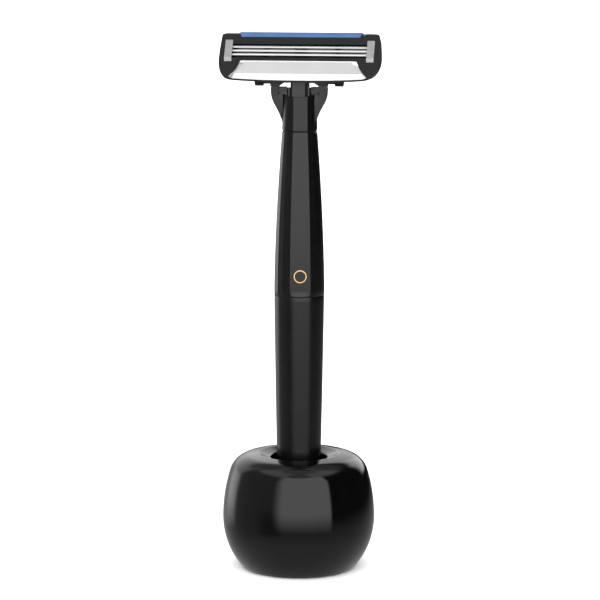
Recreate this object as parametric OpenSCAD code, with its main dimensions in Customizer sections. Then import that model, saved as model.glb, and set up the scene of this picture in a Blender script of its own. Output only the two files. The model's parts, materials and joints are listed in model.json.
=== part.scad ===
// Three-blade cartridge razor standing in a weighted, ball-shaped stand.
// Millimetres. +Z up, the front faces -Y, the origin is at the centre of the stand's foot.

/* [Stand] */
// Largest radius of the stand
stand_r = 20.1; // [19.5:0.1:20.8]
// Height of the widest ring of the stand
stand_belly_z = 13.6; // [13:0.1:14.5]
// Radius of the ridge round the dished top
ridge_r = 11; // [10.5:0.1:11.5]
// Height of that ridge, which is the top of the stand
ridge_z = 30.5; // [30:0.1:31]
// Radius of the hole that the razor stands in
socket_r = 7.5; // [7.3:0.05:7.8]
// Wall of the stand's shell
stand_wall = 2.2; // [1.6:0.1:2.6]
// Number of screws in the base plate
base_screw_count = 3; // [3:1:4]

/* [Handle] */
// Height of the joint between the round and the faceted grip
grip_seam_z = 72.7; // [71:0.1:74]
// Height of the joint between the faceted grip and the neck
neck_seam_z = 115.6; // [115:0.1:116]
// Radius of the handle at the grip joint, where it is thickest
grip_r = 6.55; // [6.3:0.05:6.8]
// Radius of the handle at the neck joint
neck_r = 4.55; // [4.4:0.05:4.8]
// Radius of the round grip near its lower end
grip_foot_r = 5.3; // [5:0.05:5.5]
// Turn of the facets about the handle's axis, in degrees
facet_turn = 12; // [-15:1:15]
// Outer radius of the gold inlay ring
inlay_r = 1.7; // [1.5:0.1:2.2]

/* [Head] */
// Height of the pivot that the cartridge swings on
pivot_z = 128.6; // [128.4:0.1:128.8]
// Tilt of the cartridge's face back from upright, at rest, in degrees
face_tilt = 30; // [25:1:32]
// Width of the cartridge
head_w = 42; // [41:0.5:43]
// Number of blades
blade_count = 3; // [2:1:3]
// Spacing of the blades along the face
blade_pitch = 1.1; // [1:0.01:1.15]
// Width of each yoke arm
arm_w = 1.95; // [1.8:0.05:2.1]

/* [Hidden] */
$fn = 96;
eps = 0.01;
gap = 0.05;                 // clearance between fixed neighbours
big = 60;                   // larger than any feature that it trims

// Stand
pad_r = 12.9;
pad_t = 1.0;
plate_t = 2.0;
shell_foot_z = 0.4;
belly_r2 = 42;              // radius of the long arc above the belly
shoulder_r = 6;             // radius of the shoulder arc below the top
top_slope = 7;              // fall of the top from the ridge to the shoulder, in degrees
dish_z = 29.7;
crest_r = 1.8;              // rounding of the ridge
lip_r = 0.5;                // rounding of the socket's edge
tube_wall = 1.5;
tube_foot_z = 4;
weight_r = 13.9;
weight_step_z = 4.3;        // the ballast is narrower below this, where the shell closes in
weight_top_z = 21;
liner_wall = 1.3;
liner_top_z = 26;
liner_foot_z = 4.6;
screw_circle_r = 11.2;
screw_r = 0.9;

// Handle
grip_bulge = 0.1;           // how far the round grip swells half way up
rod_r = 3.0;
stud_r = 2.6;
ring_t = 0.3;
plug_z = 6.2;
plug_t = 2.4;
inlay_w = 0.3;
inlay_t = 0.3;
inlay_z = 78.2;
facets = [23.5, 43.5, 60, 78];          // corners of a quarter of the section, from the front
facet_side = sin(78);                   // half width of that section, for a corner radius of 1
slices = 14;

// Neck, plunger and spring
neck_top_r = 4.4;
bore_r = 3.4;
bore_floor_z = 117;
spigot_r = 3.0;
spigot_len = 9;
rim_front_z = 125;
rim_back_z = 126.0;
scoop_z = 124.45;           // lowest point of the scoop across the front between the arms
scoop_r = 11.7;
scoop_y = -1.3;             // the scoop's back wall
web_slope_h = 0.8;           // slope along the front of the web's top: its height,
web_slope_d = 0.14;          // depth,
web_slope_in = 0.05;         // and how far from the arms it ends
cheek_z = 126.9;             // top of the plunger beside its tongue
plate_front = 0.85;         // how far the flat wings and arms reach in front of the pivot
plate_back = 1.3;
arm_x = 6.4;                // distance of each arm from the middle
arm_gap = 1.45;             // from the top of the arms up to the pivot's axis
tenon = [1.3, 1.5, 1.9];
tongue_w = 4.4;
tongue_bevel = 0.75;
pad_arm = 2.5;              // from the pivot to the cam pad on the cartridge
pad_round = 0.8;
pad_rise = 20;              // the pad starts this far above level and ends as far below it
cam_gap = 0.12;
spring_mean_r = 1.4;
spring_wire = 0.4;
spring_turns = 7;

// Head, in the cartridge's own frame: the pivot at the origin, the face upright
pivot_y = -0.9;
face_y = -4;
face_top = 12.3;
frame_top = 12.05;
face_foot = -2.5;
bar_r = 1.3;
pin_r = 0.8;
pin_clear = 0.05;
hub_x0 = 5.2;               // the dock's hub over each arm
hub_x1 = 7.42;
pin_end = 11.4;
lug_x0 = 9.45;
lug_w = 2.1;
lug_r = 1.35;
recess_r = bar_r + 0.25;
blade_half = 17.7;
blade_w = 0.7;
blade_t = 0.12;
blade_lean = 25;
blade_z0 = 5.37;            // height of the lowest cutting edge on the face
edge_y = face_y + 0.1;
support_t = 0.2;
support_leg = 1.9;
clip_x = 18.6;
clip_w = 2;
clip_z = [3.45, 9.8];
clip_t = 0.3;
strip_half = 16.1;
guard_top = 3.58;
guard_top_half = 15.15;
guard_foot_half = 18;
guard_groove = 0.25;        // dark line between the guard and the frame above it

pivot = [0, pivot_y, pivot_z];

// Points on an arc about [x, y], from angle a to angle b in n steps
function arc(x, y, r, a, b, n) = [for (i = [0:n]) [x + r * cos(a + (b - a) * i / n),
                                                   y + r * sin(a + (b - a) * i / n)]];

// Outline of the stand, from the foot up to the edge of the socket
belly_x = stand_r - belly_r2;
slope_n = [cos(90 - top_slope), sin(90 - top_slope)];
// The shoulder's centre lies on both offset curves: the long arc and the sloping top
shoulder_reach = belly_r2 - shoulder_r;
top_line = slope_n[0] * ridge_r + slope_n[1] * ridge_z - shoulder_r;
shoulder_a = asin((top_line - slope_n[0] * belly_x - slope_n[1] * stand_belly_z) / shoulder_reach)
    - top_slope;
shoulder_x = belly_x + shoulder_reach * cos(shoulder_a);
shoulder_z = stand_belly_z + shoulder_reach * sin(shoulder_a);
foot_a = asin((shell_foot_z - stand_belly_z) / stand_r);
function stand_side(inset) = concat(
    arc(0, stand_belly_z, stand_r - inset, foot_a * (inset > 0 ? 0.8 : 1), 0, 14),
    arc(belly_x, stand_belly_z, belly_r2 - inset, 1, shoulder_a, 8),
    arc(shoulder_x, shoulder_z, shoulder_r - inset, shoulder_a + 8, 90 - top_slope, 7));
stand_outline = concat([[pad_r + 0.15, shell_foot_z]], stand_side(0),
    arc(ridge_r - crest_r * slope_n[0], ridge_z - crest_r * slope_n[1], crest_r, 90 - top_slope, 105, 4),
    arc(socket_r + lip_r, dish_z - lip_r, lip_r, 90, 180, 4),
    [[socket_r, shell_foot_z]]);

// Radius of the round grip and half width of the faceted grip at a height
function lower_r(z) = let (t = (z - 8) / (grip_seam_z - 8))
    grip_foot_r + (grip_r - grip_foot_r) * t + 4 * grip_bulge * t * (1 - t);
function upper_r(z) = let (t = (z - grip_seam_z) / (neck_seam_z - grip_seam_z))
    grip_r - (grip_r - neck_r) * pow(max(t, 0), 1.65);
function neck_half(z) = neck_r + (neck_top_r - neck_r) * (z - neck_seam_z) / (rim_back_z - neck_seam_z);

// Corners of the faceted section, all round, as angles from the front
facet_angles = concat(facets, [for (i = [3:-1:0]) 180 - facets[i]],
    [for (a = facets) 180 + a], [for (i = [3:-1:0]) 360 - facets[i]]);
function facet_ring(half, z) = [for (a = facet_angles)
    [half / facet_side * sin(a + facet_turn), -half / facet_side * cos(a + facet_turn), z]];

// Solid skin over a stack of rings that all have the same number of points
module loft(rings) {
    count = len(rings[0]);
    last = len(rings) - 1;
    sides = [for (k = [0:last - 1]) for (i = [0:count - 1])
        [k * count + i, (k + 1) * count + i, (k + 1) * count + (i + 1) % count,
         k * count + (i + 1) % count]];
    caps = [[for (i = [0:count - 1]) i], [for (i = [count - 1:-1:0]) last * count + i]];
    polyhedron(points = [for (ring = rings) for (p = ring) p], faces = concat(sides, caps));
}

// Places children in the cartridge's own frame
module on_head() {
    translate(pivot) rotate([-face_tilt, 0, 0]) children();
}

// Upright box given by its low and high corners
module block(low, high) {
    translate(low) cube(high - low);
}

// ---------- stand ----------
module stand_shell() {
    inner = stand_side(stand_wall);
    color("#141416") difference() {
        rotate_extrude() polygon(stand_outline);
        rotate_extrude() polygon(concat([[socket_r - 1, shell_foot_z - 1],
            [pad_r + 0.15, shell_foot_z - 1], [pad_r + 0.15, pad_t + plate_t + 0.1]],
            inner, [[socket_r + tube_wall, inner[len(inner) - 1][1]],
            [socket_r + tube_wall, tube_foot_z], [socket_r - 1, tube_foot_z]]));
    }
}

module stand_weight() {
    color("#8c9094") difference() {
        union() {
            translate([0, 0, pad_t + plate_t + gap]) cylinder(r = pad_r, h = weight_step_z);
            translate([0, 0, weight_step_z]) cylinder(r = weight_r, h = weight_top_z - weight_step_z);
        }
        cylinder(r = socket_r + tube_wall + 0.1, h = big);
        base_screw_places() cylinder(r = screw_r + gap, h = 8);
    }
}

module socket_liner() {
    color("#26272a") difference() {
        translate([0, 0, liner_foot_z]) cylinder(r = socket_r - gap, h = liner_top_z - liner_foot_z);
        translate([0, 0, liner_foot_z + 1.5]) cylinder(r = socket_r - gap - liner_wall, h = big);
        translate([0, 0, liner_foot_z - 1]) cylinder(r = 1.5, h = 4);
    }
}

module base_plate() {
    color("#303236") difference() {
        translate([0, 0, pad_t]) cylinder(r = pad_r + 0.1, h = plate_t);
        base_screw_places() {
            cylinder(r = screw_r + 0.1, h = 8);
            translate([0, 0, pad_t - eps]) cylinder(r = 1.75, h = 0.85);
        }
    }
}

module base_screw_places() {
    for (i = [0:base_screw_count - 1])
        rotate(90 + i * 360 / base_screw_count) translate([screw_circle_r, 0, 0]) children();
}

module base_screws() {
    color("#b4b7ba") base_screw_places() difference() {
        union() {
            translate([0, 0, pad_t + gap]) cylinder(r = 1.65, h = 0.7);
            translate([0, 0, pad_t + gap]) cylinder(r = screw_r, h = 6);
        }
        translate([0, 0, pad_t]) cylinder(r = 0.75, h = 0.45, $fn = 6);
    }
}

module foot_pad() {
    color("#1c1c1e") difference() {
        cylinder(r = pad_r, h = pad_t - gap);
        for (r = [4.5, 8.5]) translate([0, 0, -eps]) difference() {
            cylinder(r = r + 0.5, h = 0.35);
            cylinder(r = r, h = 1);
        }
    }
}

// ---------- handle ----------
module lower_grip() {
    heights = [for (i = [0:slices]) 8.7 + (grip_seam_z - 8.7) * i / slices];
    color("#18181a") difference() {
        rotate_extrude() polygon(concat([[0, heights[0]]], [for (z = heights) [lower_r(z), z]],
            [[0, grip_seam_z]]));
        cylinder(r = rod_r + gap, h = grip_seam_z - 9);
        translate([0, 0, grip_seam_z - 10]) cylinder(r = stud_r + gap, h = 20);
        translate([0, 0, grip_seam_z - ring_t / 2]) difference() {
            cylinder(r = 10, h = 1);
            cylinder(r = grip_r - 0.55, h = 3, center = true);
        }
    }
}

module upper_grip() {
    heights = [for (i = [0:slices]) grip_seam_z + gap + (neck_seam_z - grip_seam_z - gap) * i / slices];
    color("#1b1b1d") difference() {
        loft([for (z = heights) facet_ring(upper_r(z), z)]);
        translate([0, 0, grip_seam_z - 1]) cylinder(r = stud_r + gap, h = 11);
        translate([0, 0, neck_seam_z - spigot_len - 0.3]) cylinder(r = spigot_r + gap, h = 20);
        translate([0, 0, grip_seam_z - 1]) difference() {
            cylinder(r = 10, h = 1 + ring_t / 2 + gap);
            cylinder(r = grip_r - 0.55, h = 8, center = true);
        }
        on_front_facet() cylinder(r = inlay_r + 0.02, h = inlay_t);
    }
}

module end_plug() {
    color("#232326") difference() {
        union() {
            rotate_extrude() polygon(concat([[0, plug_z]],
                arc(grip_foot_r - 1.2, plug_z + 1.2, 1.2, -90, 0, 6),
                [[grip_foot_r, plug_z + plug_t], [0, plug_z + plug_t]]));
            translate([0, 0, plug_z + 1]) cylinder(r = rod_r, h = 5);
        }
        translate([0, 0, plug_z - 1]) cylinder(r = 1.2, h = 3);
    }
}

module weight_rod() {
    color("#9a9da1") translate([0, 0, plug_z + 6.2]) cylinder(r = rod_r, h = 46);
}

module joint_stud() {
    color("#a9acb0") difference() {
        translate([0, 0, grip_seam_z - 9.6]) cylinder(r = stud_r, h = 19);
        for (i = [0:7]) translate([0, 0, grip_seam_z - 8.6 + i * 2.2]) difference() {
            cylinder(r = stud_r + 1, h = 0.5);
            cylinder(r = stud_r - 0.3, h = 3, center = true);
        }
    }
}

module grip_ring() {
    color("#0c0c0d") difference() {
        translate([0, 0, grip_seam_z - ring_t / 2 + 0.02]) cylinder(r = grip_r - 0.18, h = ring_t);
        translate([0, 0, grip_seam_z]) cylinder(r = grip_r - 0.5, h = 3, center = true);
    }
}

module neck_ring() {
    color("#0c0c0d") difference() {
        translate([0, 0, neck_seam_z + 0.02]) cylinder(r = neck_r - 0.2, h = ring_t - 0.06);
        translate([0, 0, neck_seam_z]) cylinder(r = spigot_r + gap, h = 3, center = true);
    }
}

// Puts children on the front facet at the inlay, with +Z into the handle
module on_front_facet() {
    reach = upper_r(inlay_z) / facet_side * cos(facets[0]);
    lean = atan((upper_r(inlay_z - 1) - upper_r(inlay_z + 1)) / 2 / facet_side);
    rotate(facet_turn) translate([0, -reach - 0.06, inlay_z]) rotate([-90 - lean, 0, 0]) children();
}

module inlay_ring() {
    color("#b98a3c") on_front_facet() difference() {
        cylinder(r = inlay_r, h = inlay_t);
        translate([0, 0, -1]) cylinder(r = inlay_r - inlay_w, h = 3);
    }
}

// ---------- neck, plunger and spring ----------
// One half of the flat plate that carries the arm, in X and Z
wing_half = [
    [3.6, 117.4], [4.22, 117.7], [4.36, 118.3], [4.6, 119], [4.98, 119.9], [5.45, 120.9], [5.95, 121.8],
    [6.45, 122.7], [6.88, 123.6], [7.17, 124.5], [7.33, 125.4], [arm_x + arm_w / 2, 126.4],
    [arm_x + arm_w / 2, pivot_z - arm_gap],
    [2.4, pivot_z - arm_gap]
];

module yoke_neck() {
    heights = [neck_seam_z + ring_t, 118, 121, rim_back_z + 1];
    arm_in = arm_x - arm_w / 2;
    color("#1d1d1f") difference() {
        union() {
            difference() {
                loft([for (z = heights) facet_ring(neck_half(z), z)]);
                translate([0, 0, (rim_front_z + rim_back_z) / 2])
                    rotate([atan((rim_back_z - rim_front_z) / (2 * neck_top_r)), 0, 0])
                    translate([-big / 2, -big / 2, 0]) cube(big);
            }
            for (side = [0, 1]) mirror([side, 0, 0]) {
                difference() {
                    translate([0, pivot_y + plate_back, 0]) rotate([90, 0, 0])
                        linear_extrude(plate_front + plate_back) polygon(wing_half);
                    // slope along the front of the web's top
                    translate([0, scoop_y - eps, pivot_z - arm_gap - web_slope_h])
                        rotate([atan(web_slope_h / web_slope_d), 0, 0])
                        translate([0, -big / 2, 0]) cube([arm_in - web_slope_in, big, big]);
                }
                translate([arm_x - tenon[0] / 2, pivot_y - tenon[1] / 2, pivot_z - arm_gap - eps])
                    cube(tenon);
            }
            translate([0, 0, neck_seam_z - spigot_len]) cylinder(r = spigot_r, h = spigot_len + 1);
        }
        translate([0, 0, bore_floor_z]) cylinder(r = bore_r, h = big);
        // scoop across the neck and the wings, in front of the web
        intersection() {
            translate([0, scoop_y, scoop_z + scoop_r]) rotate([90, 0, 0]) cylinder(r = scoop_r, h = big);
            block([-arm_in, -big, scoop_z - 1], [arm_in, 0, scoop_z + big]);
        }
    }
}

cam_z = pivot_z + pad_arm * sin(pad_rise) - pad_round - cam_gap;

module plunger() {
    guide_z = bore_floor_z + 2.3;
    color("#222225") difference() {
        union() {
            translate([0, 0, guide_z]) cylinder(r = bore_r - 0.07, h = 2.4);
            block([-tongue_w / 2, pivot_y - 1.2, guide_z + 1], [tongue_w / 2, 2.25, cam_z]);
            // cheeks beside the tongue, in line with the yoke's web
            intersection() {
                translate([0, 0, guide_z + 1]) cylinder(r = bore_r - 0.07, h = cheek_z - guide_z - 1);
                block([-bore_r, pivot_y - 0.9, guide_z], [bore_r, 1.6, cheek_z]);
            }
        }
        translate([0, 0, guide_z - 1]) cylinder(r = spring_mean_r + spring_wire / 2 + 0.1, h = 7.7);
        for (side = [-1, 1])
            translate([side * tongue_w / 2, pivot_y - 1.2, 0]) rotate(45)
                cube([tongue_bevel, tongue_bevel, 3 * pivot_z], center = true);
    }
}

module plunger_spring() {
    length = 8.9 - spring_wire;
    steps = 14;
    sides = 6;
    last = spring_turns * steps;
    rings = [for (i = [0:last]) let (a = 360 * i / steps)
        [for (k = [sides - 1:-1:0]) let (b = 360 * k / sides, r = spring_mean_r + spring_wire / 2 * cos(b))
            [r * cos(a), r * sin(a),
             bore_floor_z + 0.02 + spring_wire / 2 + length * i / last + spring_wire / 2 * sin(b)]]];
    color("#c3c6c9") loft(rings);
}

// ---------- dock ----------
module dock_bracket() {
    color("#111113") translate(pivot) difference() {
        union() {
            for (side = [0, 1]) mirror([side, 0, 0]) {
                translate([hub_x0, 0, 0]) rotate([0, 90, 0]) cylinder(r = bar_r, h = hub_x1 - hub_x0);
                block([hub_x0, -bar_r, 0.1 - arm_gap], [hub_x1, bar_r, 0]);
                translate([hub_x1 - 1, 0, 0]) rotate([0, 90, 0]) cylinder(r = pin_r, h = pin_end - hub_x1 + 1);
                translate([0, 1.15, 0]) rotate([90, 0, 0]) linear_extrude(2.3)
                    polygon([[2.5, 0.5], [2.5, -0.45], [4, -0.45], [5.4, 0.1 - arm_gap], [5.4, 0.5]]);
            }
            block([-5.4, -1.15, 0.25], [5.4, 1.15, 0.9]);
        }
        for (side = [-1, 1])
            translate([side * arm_x - tenon[0] / 2 - gap, -tenon[1] / 2 - gap, -3])
                cube([tenon[0] + 2 * gap, tenon[1] + 2 * gap, 3 + tenon[2] - arm_gap + 0.1]);
    }
}

// ---------- cartridge ----------
// Side section of the frame in depth and height, from the front foot round to the back
frame_section = [
    [face_y, face_foot], [face_y, frame_top - 0.6], [face_y + 0.6, frame_top], [-2, frame_top],
    [-1, 11.4], [0.9, 8.5], [1.6, 5], [1.3, 1.6], [0.7, 0.6], [-1.4, -0.5]
];

// A whole outline from the points of its right half, foot first
function both_sides(half) = concat(half, [for (i = [len(half) - 1:-1:0]) [-half[i][0], half[i][1]]]);

// Front outline of the cartridge: a bowed foot, wide round lower corners and sides that bulge
half_w = head_w / 2;
front_half = concat([[3, face_foot], [9, face_foot + 0.08], [14, face_foot + 0.3]],
    [for (p = [[4.4, 0.47], [3.1, 0.66], [2.3, 0.98], [1.6, 1.57], [1.05, 2.3], [0.65, 3.15],
               [0.32, 4.2], [0.1, 5.4], [0, 7], [0.03, 9], [0.12, 10.8]])
        [half_w - p[0], face_foot + p[1]]],
    arc(half_w - 1.75, frame_top - 1.5, 1.5, 4, 90, 7));

// A front view shape, drawn in X and Z, given depth from y0 back to y1
module deep(y0, y1) {
    translate([0, y1, 0]) rotate([90, 0, 0]) linear_extrude(y1 - y0) children();
}

blade_top = blade_z0 + blade_pitch * (blade_count - 1) + 1;

module cartridge_frame() {
    color("#1a1a1c") on_head() difference() {
        union() {
            intersection() {
                rotate([90, 0, 90]) translate([0, 0, -half_w]) linear_extrude(head_w)
                    polygon(frame_section);
                deep(-6, 4) polygon(both_sides(front_half));
                // the same outline carried straight back, so that the corners are round from in front
                multmatrix([[1, 0, 0, 0], [0, 1, 0, 0], [0, tan(face_tilt), 1, -face_y * tan(face_tilt)]])
                    deep(-6, 4) polygon(both_sides(concat(front_half, [[half_w - 0.6, face_top + 1]])));
            }
            for (side = [0, 1]) mirror([side, 0, 0]) {
                translate([lug_x0, 0, 0]) rotate([0, 90, 0]) cylinder(r = lug_r, h = lug_w);
                block([lug_x0, -1.1, 0], [lug_x0 + lug_w, 1.1, 2]);
            }
            rotate([face_tilt, 0, 0]) translate([-1.9, pad_arm * cos(pad_rise), pad_arm * sin(pad_rise)])
                rotate([0, 90, 0]) cylinder(r = pad_round, h = 3.8);
        }
        translate([-lug_x0, 0, 0]) rotate([0, 90, 0]) cylinder(r = recess_r, h = 2 * lug_x0);
        translate([-lug_x0 - lug_w - 1, 0, 0]) rotate([0, 90, 0])
            cylinder(r = pin_r + pin_clear, h = 2 * (lug_x0 + lug_w + 1));
        // pocket for the blades, with rinse windows through to the back
        block([-blade_half - 0.1, face_y - 1, blade_z0 - 0.75], [blade_half + 0.1, -1.3, blade_top]);
        for (side = [-1, 1]) for (bay = [0, 1]) {
            x = side * (5.3 + bay * 8.2);
            block([x - 3.6, -2, blade_z0 - 0.35], [x + 3.6, 3, blade_top - 0.4]);
        }
        // seats for the strip and the guard, and slots for the clips
        deep(face_y - 1, face_y + 1.1) strip_shape(0.05);
        deep(face_y - 1, face_y + 0.8) guard_shape(0.05);
        // groove above the guard
        block([-guard_top_half, face_y - 1, guard_top - 2 * guard_groove],
              [guard_top_half, face_y + 0.5, guard_top + guard_groove]);
        for (side = [-1, 1]) for (z = clip_z) {
            low = z == clip_z[0] ? z - gap : z - clip_t - gap;
            block([side * clip_x - clip_w / 2 - gap, face_y - 1, low],
                  [side * clip_x + clip_w / 2 + gap, face_y + 2.7, low + clip_t + 2 * gap]);
        }
    }
}

// Front view of the lubricating strip, grown by a margin
module strip_shape(margin) {
    polygon(both_sides([[strip_half - 0.55 + margin, 10.55 - margin],
        [strip_half + margin, face_top - 0.5], [strip_half - 0.3 + margin, face_top + 1]]));
}

// Front view of the guard: a trapezoid with sides that curve inwards, grown by a margin
module guard_shape(margin) {
    polygon(both_sides([[3, -1.87 - margin], [9, -1.78 - margin], [14, -1.58 - margin],
        [16.9, -1.38 - margin], [17.75 + margin, -1.15], [guard_foot_half + margin, -0.8],
        [17.6 + margin, -0.3], [16.9 + margin, 0.5], [16.1 + margin, 1.7], [15.55 + margin, 2.9],
        [guard_top_half + margin, guard_top + margin]]));
}

// One blade, set from its cutting edge up and back into the frame
module blade(i) {
    color("#d9dbdd") on_head() translate([0, edge_y, blade_z0 + i * blade_pitch])
        rotate([-blade_lean, 0, 0]) block([-blade_half, 0, 0], [blade_half, blade_t, blade_w]);
}

// A point on the leaning blade's own axes: d behind its face, h up from its edge
function on_blade(d, h) = [d * cos(blade_lean) + h * sin(blade_lean), h * cos(blade_lean) - d * sin(blade_lean)];

// Bent strip behind one blade: a leaning plate that the blade lies on, and a level foot
module blade_support(i) {
    near = blade_t + 0.01;
    far = blade_t + support_t;
    foot_z = 0.3;
    near_bend = near * cos(blade_lean) + (foot_z + near * sin(blade_lean)) * tan(blade_lean);
    far_bend = far * cos(blade_lean)
        + (foot_z + support_t + far * sin(blade_lean)) * tan(blade_lean);
    color("#8f9296") on_head() translate([0, edge_y, blade_z0 + i * blade_pitch])
        rotate([90, 0, 90]) translate([0, 0, 0.1 - blade_half]) linear_extrude(2 * blade_half - 0.2)
        polygon([[near_bend, foot_z], [support_leg + 0.6, foot_z],
                 [support_leg + 0.6, foot_z + support_t], [far_bend, foot_z + support_t],
                 on_blade(far, blade_w), on_blade(near, blade_w)]);
}

module blade_1() { blade(0); }
module blade_2() { blade(1); }
module blade_3() { blade(2); }
module blade_support_1() { blade_support(0); }
module blade_support_2() { blade_support(1); }
module blade_support_3() { blade_support(2); }

module end_clip(side) {
    x = side * clip_x;
    color("#a9abad") on_head() {
        block([x - clip_w / 2, face_y - clip_t, clip_z[0]],
              [x + clip_w / 2, face_y - 0.02, clip_z[1]]);
        for (z = [clip_z[0], clip_z[1] - clip_t])
            block([x - clip_w / 2, face_y - clip_t, z], [x + clip_w / 2, face_y + 2.6, z + clip_t]);
    }
}

module end_clip_left() { end_clip(-1); }
module end_clip_right() { end_clip(1); }

module lubricating_strip() {
    color("#5f8fcb") on_head() intersection() {
        deep(face_y - 1, face_y + 1.08) strip_shape(0);
        rotate([90, 0, 90]) translate([0, 0, -half_w]) linear_extrude(head_w)
            polygon([[face_y + 1.1, 10.5], [face_y - 0.12, 10.5], [face_y - 0.18, 11.5],
                     [face_y + 0.05, 12.1], [face_y + 0.6, face_top + 0.1], [face_y + 1.1, face_top + 0.1]]);
    }
}

module guard_bar() {
    color("#dddee0") on_head() intersection() {
        deep(face_y - 1, face_y + 0.78) guard_shape(0);
        rotate([90, 0, 90]) translate([0, 0, -half_w]) linear_extrude(head_w)
            polygon([[face_y + 0.8, -2.5], [face_y + 0.35, -2.5], [face_y - 0.22, 0],
                     [face_y - 0.22, 2.95], [face_y, guard_top + 0.1], [face_y + 0.8, guard_top + 0.1]]);
    }
}

stand_shell();
stand_weight();
socket_liner();
base_plate();
base_screws();
foot_pad();
lower_grip();
upper_grip();
end_plug();
weight_rod();
joint_stud();
grip_ring();
neck_ring();
inlay_ring();
yoke_neck();
plunger();
plunger_spring();
dock_bracket();
cartridge_frame();
blade_1();
blade_2();
blade_3();
blade_support_1();
blade_support_2();
blade_support_3();
end_clip_left();
end_clip_right();
lubricating_strip();
guard_bar();
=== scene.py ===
"""Looks for a cartridge razor that stands in a weighted stand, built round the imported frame.

Lengths are in millimetres until a mesh is made, and MM turns them into metres.
"""

import json
import math

import bpy
from mathutils import Matrix, Vector


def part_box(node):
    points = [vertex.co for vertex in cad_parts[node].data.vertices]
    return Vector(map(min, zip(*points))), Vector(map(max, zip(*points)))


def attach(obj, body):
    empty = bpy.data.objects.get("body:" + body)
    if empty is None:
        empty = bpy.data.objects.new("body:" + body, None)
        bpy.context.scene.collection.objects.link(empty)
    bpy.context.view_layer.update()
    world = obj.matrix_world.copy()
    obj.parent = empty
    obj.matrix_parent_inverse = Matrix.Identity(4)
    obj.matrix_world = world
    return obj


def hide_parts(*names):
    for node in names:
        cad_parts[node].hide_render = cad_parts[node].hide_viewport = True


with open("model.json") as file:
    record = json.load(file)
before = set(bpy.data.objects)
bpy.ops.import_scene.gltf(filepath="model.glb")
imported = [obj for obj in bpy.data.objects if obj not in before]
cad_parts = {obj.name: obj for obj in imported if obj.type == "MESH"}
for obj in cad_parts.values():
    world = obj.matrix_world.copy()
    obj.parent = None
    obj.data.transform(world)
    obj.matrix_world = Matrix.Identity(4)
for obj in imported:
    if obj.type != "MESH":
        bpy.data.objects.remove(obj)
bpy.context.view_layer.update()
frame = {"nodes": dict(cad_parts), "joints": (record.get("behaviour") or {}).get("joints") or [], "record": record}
MM = 0.001


def size_of(node):
    """Lowest and highest corner of a CAD node, in millimetres."""
    low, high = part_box(node)
    return low / MM, high / MM


JOINTS = {joint["name"]: joint for joint in frame["joints"]}

# ---------------------------------------------------------------- sizes, from the frame
STAND_LOW, STAND_HIGH = size_of("stand_shell")
STAND_R = STAND_HIGH.x
STAND_FOOT = STAND_LOW.z
RIDGE_Z = STAND_HIGH.z
PAD_R = size_of("foot_pad")[1].x
LINER_LOW, LINER_HIGH = size_of("socket_liner")
SOCKET_R = LINER_HIGH.x + 0.05
GRIP_LOW, GRIP_HIGH = size_of("lower_grip")
GRIP_R = GRIP_HIGH.x
GRIP_SEAM = GRIP_HIGH.z
NECK_SEAM = size_of("upper_grip")[1].z
PIVOT = Vector(JOINTS["cartridge_pivot"]["pos_m"]) / MM
BLADE_HALF = size_of("blade_1")[1].x
STRIP_HALF = size_of("lubricating_strip")[1].x
CLIP_IN = size_of("end_clip_right")[0].x
CLIP_OUT = size_of("end_clip_right")[1].x

# ---------------------------------------------------------------- sizes that a node's box doesn't show
STAND_WALL = 2.4
CUP_WALL = 1.3
CUP_FLOOR_T = 1.5
NECK_R = 4.55                           # half width of the handle at the neck's seam
GRIP_FOOT_R = 5.3                       # radius of the round grip at GRIP_FOOT_Z
GRIP_FOOT_Z = 8
GRIP_BULGE = 0.1                        # how far the round grip swells half way up
FACE_TILT = math.radians(30)            # of the cartridge's own frame, whose origin is the pivot
FACE_Y = -4                             # depth of the cartridge's face in that frame
EDGE_Y = FACE_Y + 0.1                   # depth of the cutting edges
BLADE_Z = 5.37                          # height of the lowest cutting edge on the face
BLADE_PITCH = 1.1
BLADE_LEAN = math.radians(25)
BLADE_COUNT = 3
STUD_R = 0.3                            # small stud beside the strip: radius and place on the face
STUD_X = 16.75
STUD_Z = 11.4

# ---------------------------------------------------------------- mesh helpers
HEAD = Matrix.Translation(PIVOT) @ Matrix.Rotation(-FACE_TILT, 4, "X")


def arc(x, y, radius, start, end, steps):
    """Points on an arc about (x, y), angles in degrees."""
    angles = [math.radians(start + (end - start) * i / steps) for i in range(steps + 1)]
    return [(x + radius * math.cos(a), y + radius * math.sin(a)) for a in angles]


def add_piece(name, points, faces, body, slot, stands_for=(), place=None, sharp=32):
    """A mesh piece that rides on a body. Points are in millimetres, in the row frame or in place's."""
    if place is not None:
        points = [place @ Vector(p) for p in points]
    mesh = bpy.data.meshes.new(name)
    mesh.from_pydata([Vector(p) * MM for p in points], [], faces)
    mesh.validate()
    mesh.update()
    mesh.shade_smooth()
    mesh.set_sharp_from_angle(angle=math.radians(sharp))
    obj = bpy.data.objects.new(name, mesh)
    bpy.context.scene.collection.objects.link(obj)
    mesh.materials.append(MATERIALS[slot])
    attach(obj, body)
    if stands_for:
        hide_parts(*stands_for)
    return obj


def grid_faces(rows, columns, closed_rows=False):
    """Quads between rings of points, each ring closed, and the first ring joined to the last if asked."""
    faces = []
    for i in range(rows if closed_rows else rows - 1):
        for j in range(columns):
            a, b = i * columns, (i + 1) % rows * columns
            k = (j + 1) % columns
            faces.append((a + j, a + k, b + k, b + j))
    return faces


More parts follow.
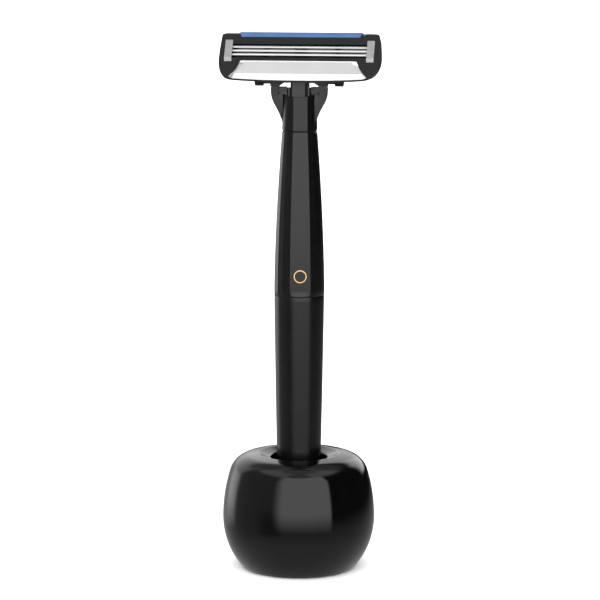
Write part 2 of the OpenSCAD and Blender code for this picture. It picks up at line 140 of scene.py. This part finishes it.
def lathe(name, profile, body, slot, stands_for=(), segments=160, place=None, sharp=32):
    """Turns a closed profile of (radius, height) about Z. It runs from the foot outwards and up."""
    points = []
    for radius, height in profile:
        for j in range(segments):
            a = 2 * math.pi * j / segments
            points.append((radius * math.cos(a), radius * math.sin(a), height))
    faces = grid_faces(len(profile), segments, closed_rows=True)
    return add_piece(name, points, faces, body, slot, stands_for, place, sharp)


def stack(name, rings, body, slot, stands_for=(), place=None, sharp=32):
    """Skin over closed rings of 3-D points, capped at both ends."""
    columns = len(rings[0])
    points = [p for ring in rings for p in ring]
    faces = grid_faces(len(rings), columns)
    last = (len(rings) - 1) * columns
    faces.append(tuple(reversed(range(columns))))
    faces.append(tuple(range(last, last + columns)))
    return add_piece(name, points, faces, body, slot, stands_for, place, sharp)


def modifier(obj, kind, **settings):
    made = obj.modifiers.new(kind.title(), kind)
    for key, value in settings.items():
        setattr(made, key, value)


def soften(obj, width, angle=28):
    """Rounds an object's edges by width millimetres without touching its mesh."""
    modifier(obj, "WELD", merge_threshold=0.002 * MM)
    modifier(obj, "BEVEL", width=width * MM, segments=2, limit_method="ANGLE",
             angle_limit=math.radians(angle), harden_normals=False, use_clamp_overlap=True)
    modifier(obj, "WEIGHTED_NORMAL", keep_sharp=False, weight=80)


# ---------------------------------------------------------------- materials
def new_material(name):
    made = bpy.data.materials.new(name)
    made.use_nodes = True
    return made, made.node_tree.nodes, made.node_tree.links


def node(nodes, kind, **inputs):
    made = nodes.new(kind)
    for key, value in inputs.items():
        made.inputs[key.replace("_", " ")].default_value = value
    return made


def noise(nodes, links, source, scale, detail, stretch=(1, 1, 1)):
    """Noise over the object's own coordinates. Scale is in features per millimetre."""
    mapping = nodes.new("ShaderNodeMapping")
    mapping.inputs["Scale"].default_value = [s / MM for s in stretch]
    links.new(source, mapping.inputs["Vector"])
    made = node(nodes, "ShaderNodeTexNoise", Scale=scale, Detail=detail)
    links.new(mapping.outputs["Vector"], made.inputs["Vector"])
    return made.outputs["Fac"]


def between(nodes, links, value, low, high):
    """Maps the middle of a 0 to 1 value's range onto low to high."""
    made = node(nodes, "ShaderNodeMapRange", From_Min=0.35, From_Max=0.65, To_Min=low, To_Max=high)
    links.new(value, made.inputs["Value"])
    return made.outputs["Result"]


def tint(nodes, links, value, dark, light):
    """Colour ramp from dark to light."""
    ramp = nodes.new("ShaderNodeValToRGB")
    ramp.color_ramp.elements[0].position = 0.3
    ramp.color_ramp.elements[1].position = 0.7
    ramp.color_ramp.elements[0].color = (*dark, 1)
    ramp.color_ramp.elements[1].color = (*light, 1)
    links.new(value, ramp.inputs["Fac"])
    return ramp.outputs["Color"]


def surface(name, dark, light, rough, grain, bump, patch=0.15, metallic=0.0, level=0.5, stretch=(1, 1, 1)):
    """Principled surface with patchy colour, patchy roughness and a fine grain that stands out."""
    made, nodes, links = new_material(name)
    shader = nodes["Principled BSDF"]
    shader.inputs["Metallic"].default_value = metallic
    shader.inputs["Specular IOR Level"].default_value = level
    place = nodes.new("ShaderNodeTexCoord").outputs["Object"]
    patches = noise(nodes, links, place, patch, 4.0)
    fine = noise(nodes, links, place, grain, 2.0, stretch)
    links.new(tint(nodes, links, patches, dark, light), shader.inputs["Base Color"])
    both = nodes.new("ShaderNodeMath")
    both.operation = "MULTIPLY_ADD"
    both.inputs[1].default_value = 0.5
    halved = nodes.new("ShaderNodeMath")
    halved.operation = "MULTIPLY"
    halved.inputs[1].default_value = 0.5
    links.new(patches, both.inputs[0])
    links.new(fine, halved.inputs[0])
    links.new(halved.outputs[0], both.inputs[2])
    links.new(between(nodes, links, both.outputs[0], *rough), shader.inputs["Roughness"])
    relief = node(nodes, "ShaderNodeBump", Strength=bump, Distance=0.02 * MM)
    links.new(fine, relief.inputs["Height"])
    links.new(relief.outputs["Normal"], shader.inputs["Normal"])
    return made


MATERIALS = {
    "stand_gloss": surface("stand_gloss", (0.0009,) * 3, (0.0014, 0.0014, 0.0015), (0.035, 0.075),
                           3.0, 0.02, level=0.28),
    "ballast_iron": surface("ballast_iron", (0.16, 0.16, 0.17), (0.3, 0.3, 0.31), (0.5, 0.75), 2.0, 0.5,
                            metallic=1.0),
    "liner_silicone": surface("liner_silicone", (0.004,) * 3, (0.007,) * 3, (0.5, 0.65), 6.0, 0.2, level=0.3),
    "base_plastic": surface("base_plastic", (0.02,) * 3, (0.032,) * 3, (0.4, 0.55), 5.0, 0.3),
    "fastener_steel": surface("fastener_steel", (0.5, 0.51, 0.52), (0.68, 0.69, 0.7), (0.2, 0.38), 8.0, 0.15,
                              metallic=1.0),
    "foot_rubber": surface("foot_rubber", (0.01,) * 3, (0.018,) * 3, (0.6, 0.8), 6.0, 0.5),
    "handle_black": surface("handle_black", (0.0012,) * 3, (0.002, 0.002, 0.0021), (0.22, 0.29), 9.0, 0.05,
                            level=0.32),
    "rod_steel": surface("rod_steel", (0.42, 0.43, 0.44), (0.55, 0.56, 0.57), (0.22, 0.4), 8.0, 0.2,
                         metallic=1.0, stretch=(1, 1, 6)),
    "seal_rubber": surface("seal_rubber", (0.002,) * 3, (0.004,) * 3, (0.5, 0.7), 6.0, 0.2, level=0.2),
    "inlay_gold": surface("inlay_gold", (0.5, 0.33, 0.12), (0.6, 0.42, 0.18), (0.22, 0.34), 9.0, 0.1,
                          metallic=1.0),
    "plunger_black": surface("plunger_black", (0.006,) * 3, (0.009,) * 3, (0.3, 0.42), 9.0, 0.15),
    "dock_black": surface("dock_black", (0.004,) * 3, (0.007,) * 3, (0.35, 0.5), 9.0, 0.15, level=0.35),
    "frame_black": surface("frame_black", (0.0028,) * 3, (0.0044, 0.0044, 0.0046), (0.38, 0.52), 10.0,
                           0.35, level=0.2),
    "blade_steel": surface("blade_steel", (0.58, 0.58, 0.59), (0.64, 0.64, 0.65), (0.14, 0.24), 9.0, 0.015,
                           metallic=0.55, stretch=(0.1, 2, 2)),
    "support_steel": surface("support_steel", (0.2, 0.2, 0.21), (0.3, 0.3, 0.31), (0.3, 0.5), 8.0, 0.15,
                             metallic=1.0),
    "clip_aluminium": surface("clip_aluminium", (0.24, 0.243, 0.246), (0.34, 0.343, 0.346), (0.38, 0.6), 6.0, 0.5,
                              metallic=1.0, patch=1.2),
    "strip_blue": surface("strip_blue", (0.023, 0.071, 0.175), (0.032, 0.088, 0.208), (0.3, 0.45), 4.0, 0.12,
                          patch=0.5, level=0.35),
    "guard_silver": surface("guard_silver", (0.405, 0.405, 0.41), (0.42, 0.42, 0.425), (0.22, 0.27), 4.0, 0.02,
                            metallic=0.85, stretch=(0.12, 1, 1)),
}

for name, obj in frame["nodes"].items():
    slot = next(s["material_slot"] for s in frame["record"]["subparts"] if s["node"] == name)
    obj.data.materials.clear()
    obj.data.materials.append(MATERIALS[slot])


# ---------------------------------------------------------------- stand
def stand_outline():
    """Outer side of the stand from the foot up: ball, long arc, shoulder, sloping top and dished socket."""
    belly_z, long_r, shoulder_r, top_slope = 13.6, 42.0, 6.0, 7.0
    ridge_r, crest_r, lip_r = 11.0, 1.8, 0.5
    normal = (math.cos(math.radians(90 - top_slope)), math.sin(math.radians(90 - top_slope)))
    belly_x = STAND_R - long_r
    reach = long_r - shoulder_r
    ridge_z = RIDGE_Z - crest_r * (1 - normal[1])
    line = normal[0] * ridge_r + normal[1] * ridge_z - shoulder_r
    lean = math.degrees(math.asin((line - normal[0] * belly_x - normal[1] * belly_z) / reach)) - top_slope
    shoulder_x = belly_x + reach * math.cos(math.radians(lean))
    shoulder_z = belly_z + reach * math.sin(math.radians(lean))
    foot = math.degrees(math.asin((STAND_FOOT + 0.35 - belly_z) / STAND_R))
    dish_z = ridge_z - 0.8
    crest = arc(ridge_r - crest_r * normal[0], ridge_z - crest_r * normal[1], crest_r, 90 - top_slope, 105, 12)
    lip = arc(SOCKET_R + lip_r, dish_z - lip_r, lip_r, 105, 180, 10)
    edge = [(PAD_R + 0.15, STAND_FOOT), (math.cos(math.radians(foot)) * STAND_R - 0.35, STAND_FOOT)]
    return (edge + arc(0, belly_z, STAND_R, foot, 0, 30)
            + arc(belly_x, belly_z, long_r, 1, lean - 1, 16)
            + arc(shoulder_x, shoulder_z, shoulder_r, lean, 90 - top_slope, 24)
            + crest + dish(crest[-1], lip[0]) + lip + [(SOCKET_R, 6.0)])


def dish(start, end):
    """Hollow between the ridge and the edge of the socket."""
    return [(start[0] + (end[0] - start[0]) * t, start[1] + (end[1] - start[1]) * t)
            for t in [i / 6 for i in range(1, 6)]]


def make_stand():
    outside = stand_outline()
    inside = [(SOCKET_R + 1.5, 6.0), (SOCKET_R + 1.5, RIDGE_Z - 5), (13.5, RIDGE_Z - 5),
              (STAND_R - STAND_WALL, 22), (STAND_R - STAND_WALL, 9), (PAD_R + 0.15, 3.2)]
    lathe("stand_body", outside + inside, "stand", "stand_gloss", ["stand_shell"], 192, sharp=40)
    floor = LINER_LOW.z + CUP_FLOOR_T
    outer = SOCKET_R - 0.05
    lip = arc(outer - 0.35, LINER_HIGH.z - 0.35, 0.35, 0, 90, 5)
    lip += arc(outer - CUP_WALL + 0.35, LINER_HIGH.z - 0.35, 0.35, 90, 180, 5)
    cup = [(0.4, LINER_LOW.z), (outer, LINER_LOW.z)] + lip + [(outer - CUP_WALL, floor), (0.4, floor)]
    lathe("silicone_cup", cup, "stand", "liner_silicone", ["socket_liner"], 128)


# ---------------------------------------------------------------- handle
FACET_TURN = math.radians(12)
QUARTER = [23.5, 43.5, 60, 78]          # corners of a quarter of the section, in degrees from the front
HALF_TURN = QUARTER + [180 - a for a in reversed(QUARTER)]
CORNERS = HALF_TURN + [180 + a for a in HALF_TURN]
SIDE_SHARE = math.sin(math.radians(QUARTER[-1]))  # half width of that section, for a corner radius of 1
CORNER_SOFT = 0.02                      # how far the corners are rounded, as a share of a facet


def facet_ring(half, height, round_share=0.0):
    """One ring of the faceted section. round_share 1 is a circle of the same width."""
    corners = [Vector((half / SIDE_SHARE * math.sin(math.radians(a) + FACET_TURN),
                       -half / SIDE_SHARE * math.cos(math.radians(a) + FACET_TURN))) for a in CORNERS]
    ring = []
    for i, corner in enumerate(corners):
        after = corners[(i + 1) % len(corners)]
        before = corners[i - 1]
        inward = CORNER_SOFT * 0.35
        ring.append(corner * (1 - inward) + (before + after) / 2 * inward)
        for t in (CORNER_SOFT * 1.6, 0.2, 0.4, 0.6, 0.8, 1 - CORNER_SOFT * 1.6):
            ring.append(corner.lerp(after, t))
    made = []
    for p in ring:
        p = p.lerp(p.normalized() * half, round_share)
        made.append((p.x, p.y, height))
    return made


def upper_half(height):
    """Half width of the faceted grip at a height."""
    t = max(0.0, (height - GRIP_SEAM) / (NECK_SEAM - GRIP_SEAM))
    return GRIP_R - (GRIP_R - NECK_R) * t**1.65


def lower_radius(height):
    """Radius of the round grip at a height."""
    t = (height - GRIP_FOOT_Z) / (GRIP_SEAM - GRIP_FOOT_Z)
    return GRIP_FOOT_R + (GRIP_R - GRIP_FOOT_R) * t + 4 * GRIP_BULGE * t * (1 - t)


def make_lower_grip():
    foot, seam = GRIP_LOW.z, GRIP_SEAM
    heights = [foot + 0.25 + (seam - 0.2 - foot - 0.25) * i / 60 for i in range(61)]
    profile = [(3.1, foot), (lower_radius(foot) - 0.25, foot)]
    profile += [(lower_radius(z), z) for z in heights]
    profile += [(GRIP_R - 0.03, seam - 0.03), (GRIP_R - 0.1, seam), (3.1, seam)]
    lathe("lower_grip_shell", profile, "handle", "handle_black", ["lower_grip"], 160)


def make_upper_grip():
    seam = GRIP_SEAM + 0.14
    rings = [facet_ring(upper_half(seam) - 0.1, seam, 1.0), facet_ring(upper_half(seam) - 0.03, seam + 0.03, 1.0),
             facet_ring(upper_half(seam), seam + 0.1, 1.0)]
    for i in range(1, 13):
        t = i / 12
        rings.append(facet_ring(upper_half(seam + 0.2 + 1.3 * t), seam + 0.2 + 1.3 * t, (1 - t) ** 2))
    heights = [seam + 1.5 + (NECK_SEAM - 0.2 - seam - 1.5) * i / 60 for i in range(1, 61)]
    rings += [facet_ring(upper_half(z), z) for z in heights]
    rings += [facet_ring(upper_half(NECK_SEAM) - 0.06, NECK_SEAM - 0.05),
              facet_ring(upper_half(NECK_SEAM) - 0.22, NECK_SEAM)]
    obj = stack("upper_grip_shell", rings, "handle", "handle_black", ["upper_grip"], sharp=180)
    modifier(obj, "WEIGHTED_NORMAL", keep_sharp=True, weight=100)


def make_inlay():
    """Plain gold ring on the front facet, set flush in the handle."""
    low, high = size_of("inlay_ring")
    centre = (low + high) / 2
    height = centre.z
    reach = upper_half(height) / SIDE_SHARE * math.cos(math.radians(CORNERS[0]))
    lean = math.atan((upper_half(height - 1) - upper_half(height + 1)) / 2 / SIDE_SHARE)
    outward = (Matrix.Rotation(FACET_TURN, 4, "Z") @ Matrix.Translation((0, -reach, height))
               @ Matrix.Rotation(math.pi / 2 - lean, 4, "X"))
    outer, inner, proud = 1.7, 1.4, 0.05
    profile = [(inner, -0.2), (outer, -0.2), (outer, proud - 0.03), (outer - 0.05, proud),
               (inner + 0.05, proud), (inner, proud - 0.03)]
    lathe("gold_ring_inlay", profile, "handle", "inlay_gold", ["inlay_ring"], 96, outward)


# ---------------------------------------------------------------- cartridge
def along_head(name, section, half, body, slot, stands_for=(), taper=None, sharp=32):
    """Extrudes a closed section of (depth, height) across the head, from -half to half."""
    rings = []
    for x in (-half, half):
        rings.append([(x if taper is None else x * taper(z), y, z) for y, z in section])
    return stack(name, rings, body, slot, stands_for, HEAD, sharp)


def flow(points, steps):
    """Smooth curve through points, with steps pieces between each two."""
    ends = [points[0]] + list(points) + [points[-1]]
    made = []
    for i in range(1, len(ends) - 2):
        p0, p1, p2, p3 = [Vector(p) for p in ends[i - 1:i + 3]]
        for k in range(steps):
            t = k / steps
            made.append(tuple(0.5 * (2 * p1 + (p2 - p0) * t + (2 * p0 - 5 * p1 + 4 * p2 - p3) * t * t
                                     + (3 * p1 - p0 - 3 * p2 + p3) * t**3)))
    made.append(tuple(points[-1]))
    return made


def make_blades():
    """Ground blades: a strip of steel with a fine facet on each side of its cutting edge."""
    strip = [(0.06, 0.0), (0.115, 0.24), (0.12, 0.7), (0.0, 0.7), (0.0, 0.3)]
    for i in range(BLADE_COUNT):
        z0 = BLADE_Z + BLADE_PITCH * i
        section = [(EDGE_Y + y * math.cos(BLADE_LEAN) + z * math.sin(BLADE_LEAN),
                    z0 - y * math.sin(BLADE_LEAN) + z * math.cos(BLADE_LEAN)) for y, z in strip]
        along_head(f"ground_blade_{i + 1}", section, BLADE_HALF, "cartridge", "blade_steel",
                   [f"blade_{i + 1}"], sharp=5)


def make_clips():
    """Aluminium straps round the ends of the cartridge, with a slanted fold at the foot."""
    low, high = 3.45, 9.8
    face, thick, back = FACE_Y - 0.3, 0.3, -1.42
    outline = [(back, high)] + arc(face + 0.38, high - 0.38, 0.38, 90, 180, 7)
    outline += [(face, low + 1.05), (face + 0.03, low + 0.95), (face + 0.3, low + 0.26)]
    outline += arc(face + 0.56, low + 0.24, 0.24, 190, 270, 6) + [(back, low)]
    inner = [(back, low + thick), (face + thick + 0.4, low + thick), (face + thick + 0.04, low + 0.9),
             (face + thick, high - 0.45), (face + thick + 0.15, high - thick), (back, high - thick)]
    section = outline + inner
    for side, name in ((-1, "end_clip_left"), (1, "end_clip_right")):
        rings = []
        for x, inset in ((CLIP_IN, 0.05), (CLIP_IN + 0.05, 0.0), (CLIP_OUT - 0.05, 0.0), (CLIP_OUT, 0.05)):
            rings.append([(side * x, y + inset if y < FACE_Y + 0.05 else y, z) for y, z in section])
        if side < 0:
            rings.reverse()
        stack(f"strap_{name}", rings, "cartridge", "clip_aluminium", [name], HEAD, sharp=12)


def make_strip():
    """Blue lubricating strip that rolls over the top edge of the face, with slanted ends."""
    section = [(-2.95, 10.57), (-4.08, 10.57), (-4.14, 10.66), (-4.17, 11.0), (-4.15, 11.45), (-4.08, 11.8),
               (-3.96, 12.03), (-3.78, 12.2), (-3.55, 12.29), (-3.3, 12.3), (-2.95, 12.3)]
    section = list(reversed(section))

    def taper(z):
        return 1 - 0.035 * max(0.0, min(1.0, (11.8 - z) / 1.2))

    obj = along_head("blue_strip", section, STRIP_HALF, "cartridge", "strip_blue",
                     ["lubricating_strip"], taper, sharp=50)
    soften(obj, 0.07, 35)


GUARD_EDGE = [(3, -1.87), (9, -1.78), (14, -1.58), (16.9, -1.38), (17.75, -1.15), (18, -0.8), (17.6, -0.3),
              (16.9, 0.5), (16.1, 1.7), (15.55, 2.9), (15.15, 3.58)]


def make_guard():
    """Silver guard bar: a flat middle panel with sloping borders out to curved sides."""
    right = flow(GUARD_EDGE, 5)
    right[-1] = (right[-1][0] - 0.1, right[-1][1])
    foot_turn = 15                      # points from here on belong to the side, not to the foot
    panel_half, panel_narrows = 16.4, 2.55
    panel_low, panel_tall = -0.1, 3.42
    panel_y, foot_y = -4.22, -3.25
    panel = []
    for i, (x, z) in enumerate(right):
        if i < foot_turn:
            panel.append((x * panel_half / right[foot_turn][0], panel_low))
        else:
            t = (i - foot_turn) / (len(right) - 1 - foot_turn)
            panel.append((panel_half - panel_narrows * t, panel_low + panel_tall * t))

    def depth_at(z):
        """Depth of the border's outer edge: further back at the foot, further out at the top."""
        return -3.88 + 0.16 * max(0.0, min(1.0, (-0.8 - z) / 1.1)) - 0.42 * max(0.0, min(1.0, z - 2.5))

    def ring(grow, blend, depth):
        """Right half of one outline, moved in by grow and blended towards the panel, then mirrored."""
        half = []
        for (x, z), (px, pz) in zip(right, panel):
            inward = Vector((px - x, pz - z)).normalized() * grow
            half.append((x + inward.x + (px - x) * blend, depth(z), z + inward.y + (pz - z) * blend))
        return half + [(-x, y, z) for x, y, z in reversed(half)]

    rings = [ring(0, 1, lambda z: panel_y), ring(0, 0.95, lambda z: panel_y + 0.015), ring(0.1, 0, depth_at),
             ring(0.03, 0, lambda z: depth_at(z) + 0.03), ring(0, 0, lambda z: depth_at(z) + 0.1),
             ring(0, 0, lambda z: foot_y)]
    stack("silver_guard", rings, "cartridge", "guard_silver", ["guard_bar"], HEAD, sharp=8)


def make_head_details():
    for name, width in (("cartridge_frame", 0.14), ("dock_bracket", 0.1), ("yoke_neck", 0.09), ("plunger", 0.1)):
        soften(frame["nodes"][name], width)
    stud = arc(0, 0, STUD_R, 0, 330, 11)
    rings = [[(STUD_X + x * k, y, STUD_Z + z * k) for x, z in stud] for y, k in
             ((-3.9, 1.0), (-4.1, 1.0), (-4.16, 0.8))]
    rings.reverse()
    stack("strip_stud", rings, "cartridge", "strip_blue", (), HEAD)


# ---------------------------------------------------------------- studio
WINDOW = 2.7                            # strength of the window that the gloss reflects
SIDE_TURN = math.radians(8.9)           # the camera and the lights stand this far round to the right
FLOOR_HALF = 12.0                       # half side of the floor, in metres
CAMERA_PLACE = (0.0114, -0.6, 0.1567)   # before SIDE_TURN, in metres
CAMERA_TARGET = (0.0002, 0, 0.0713)
CAMERA_ROLL = math.radians(0.16)
LENS = 138.6


def smooth(nodes, links, value, start, end, low=0.0, high=1.0):
    """Smooth step of a value from low at start to high at end."""
    made = node(nodes, "ShaderNodeMapRange", From_Min=start, From_Max=end, To_Min=low, To_Max=high)
    made.interpolation_type = "SMOOTHSTEP"
    links.new(value, made.inputs["Value"])
    return made.outputs["Result"]


def join(nodes, links, kind, first, second, third=None):
    """Math node on two or three values, each a socket or a number."""
    made = nodes.new("ShaderNodeMath")
    made.operation = kind
    for i, value in enumerate([first, second, third]):
        if value is None:
            continue
        if isinstance(value, (int, float)):
            made.inputs[i].default_value = value
        else:
            links.new(value, made.inputs[i])
    return made.outputs[0]


def make_world():
    """White studio. What the gloss reflects has a window in front, a dark right side and soft rest."""
    world = bpy.data.worlds.new("white_studio")
    bpy.context.scene.world = world
    world.use_nodes = True
    nodes, links = world.node_tree.nodes, world.node_tree.links
    split = nodes.new("ShaderNodeSeparateXYZ")
    turn = nodes.new("ShaderNodeMapping")
    turn.inputs["Rotation"].default_value = (0, 0, -SIDE_TURN)
    links.new(nodes.new("ShaderNodeTexCoord").outputs["Generated"], turn.inputs["Vector"])
    links.new(turn.outputs["Vector"], split.inputs[0])
    x, y, z = split.outputs
    ahead = join(nodes, links, "MULTIPLY", y, -1.0)
    around = join(nodes, links, "MULTIPLY", join(nodes, links, "ARCTAN2", x, ahead), 180 / math.pi)
    above = join(nodes, links, "MULTIPLY", join(nodes, links, "ARCSINE", z, 0.0), 180 / math.pi)

    def step(value, start, end, low=0.0, high=1.0):
        return smooth(nodes, links, value, start, end, low, high)

    def times(first, second):
        return join(nodes, links, "MULTIPLY", first, second)

    def band(value, start, full, fade, end):
        """1 from full to fade, falling to 0 at start and at end."""
        return times(step(value, start, full), step(value, fade, end, 1.0, 0.0))

    def mix(first, second, amount):
        """first where amount is 0, second where it is 1."""
        return join(nodes, links, "MULTIPLY_ADD", amount, join(nodes, links, "SUBTRACT", second, first), first)

    def add(first, second, amount):
        """second, plus amount times first."""
        return join(nodes, links, "MULTIPLY_ADD", first, amount, second)

    turned = join(nodes, links, "ABSOLUTE", around, 0.0)
    # bright behind on the left, with a strip near the horizon, and a darker patch low in front on the left
    behind_left = times(step(around, -124, -106, 1.0, 0.0), step(above, -32, -18))
    base = mix(0.42, mix(0.5, 1.6, step(above, 2, 14)), behind_left)
    base = add(times(band(around, -152, -128, -120, -106), band(above, -18, -2, 4, 16)), base, 1.9)
    base = times(base, add(times(band(around, -75, -45, -35, -20), band(above, -26, -16, -8, 4)), 1.0, -0.6))
    # ceiling, darker towards the back, and the pale floor
    base = mix(base, 0.95, step(above, 40, 62))
    base = mix(base, 0.45, times(step(turned, 100, 140), band(above, 32, 46, 62, 74)))
    base = mix(base, 0.7, step(above, -40, -14, 1.0, 0.0))
    # dark card on the right, a light behind it and a soft one high on each side
    card = times(step(around, 46, 56), band(above, -16, -4, 38, 56))
    base = times(base, add(card, 1.0, -0.97))
    behind_right = add(step(around, 126, 144), band(around, 126, 144, 160, 176), 1.0)
    base = add(times(behind_right, band(above, 0, 10, 30, 42)), base, 1.2)
    base = add(times(band(turned, 16, 34, 95, 115), band(above, 44, 54, 66, 78)), base, 0.9)
    window = times(band(around, -42, -22, 49, 54), band(above, -17, 1, 46, 54))
    light = add(window, base, WINDOW)
    seen = nodes.new("ShaderNodeLightPath").outputs["Is Camera Ray"]
    final = join(nodes, links, "MULTIPLY_ADD", seen, join(nodes, links, "SUBTRACT", 1.0, light), light)
    background = nodes["Background"]
    links.new(final, background.inputs["Strength"])
    background.inputs["Color"].default_value = (1, 1, 1, 1)


def make_studio():
    scene = bpy.context.scene
    scene.view_settings.view_transform = "Standard"
    make_world()
    floor_mat, nodes, links = new_material("pale_floor")
    nodes["Principled BSDF"].inputs["Base Color"].default_value = (0.93, 0.93, 0.93, 1)
    nodes["Principled BSDF"].inputs["Roughness"].default_value = 0.9
    nodes["Principled BSDF"].inputs["Specular IOR Level"].default_value = 0.1
    half = FLOOR_HALF
    mesh = bpy.data.meshes.new("floor")
    mesh.from_pydata([(-half, -half, 0), (half, -half, 0), (half, half, 0), (-half, half, 0)], [], [(0, 1, 2, 3)])
    floor = bpy.data.objects.new("floor", mesh)
    floor.visible_glossy = False
    scene.collection.objects.link(floor)
    mesh.materials.append(floor_mat)
    light = bpy.data.lights.new("overhead_light", "SUN")
    light.energy = 2.8
    light.angle = math.radians(120)
    obj = bpy.data.objects.new("overhead_light", light)
    obj.rotation_euler = (math.radians(14), math.radians(-8), SIDE_TURN)
    obj.visible_glossy = False
    scene.collection.objects.link(obj)


def make_camera():
    place = Matrix.Rotation(SIDE_TURN, 3, "Z") @ Vector(CAMERA_PLACE)
    forward = (Vector(CAMERA_TARGET) - place).normalized()
    right = forward.cross(Vector((0, 0, 1))).normalized()
    up = right.cross(forward)
    turned_right = right * math.cos(CAMERA_ROLL) + up * math.sin(CAMERA_ROLL)
    turned_up = up * math.cos(CAMERA_ROLL) - right * math.sin(CAMERA_ROLL)
    data = bpy.data.cameras.new("camera")
    data.sensor_width = 36
    data.lens = LENS
    camera = bpy.data.objects.new("camera", data)
    basis = Matrix((turned_right, turned_up, -forward)).transposed().to_4x4()
    camera.matrix_world = Matrix.Translation(place) @ basis
    bpy.context.scene.collection.objects.link(camera)
    bpy.context.scene.camera = camera


make_camera()
make_studio()
make_stand()
make_lower_grip()
make_upper_grip()
make_inlay()
make_blades()
make_clips()
make_strip()
make_guard()
make_head_details()
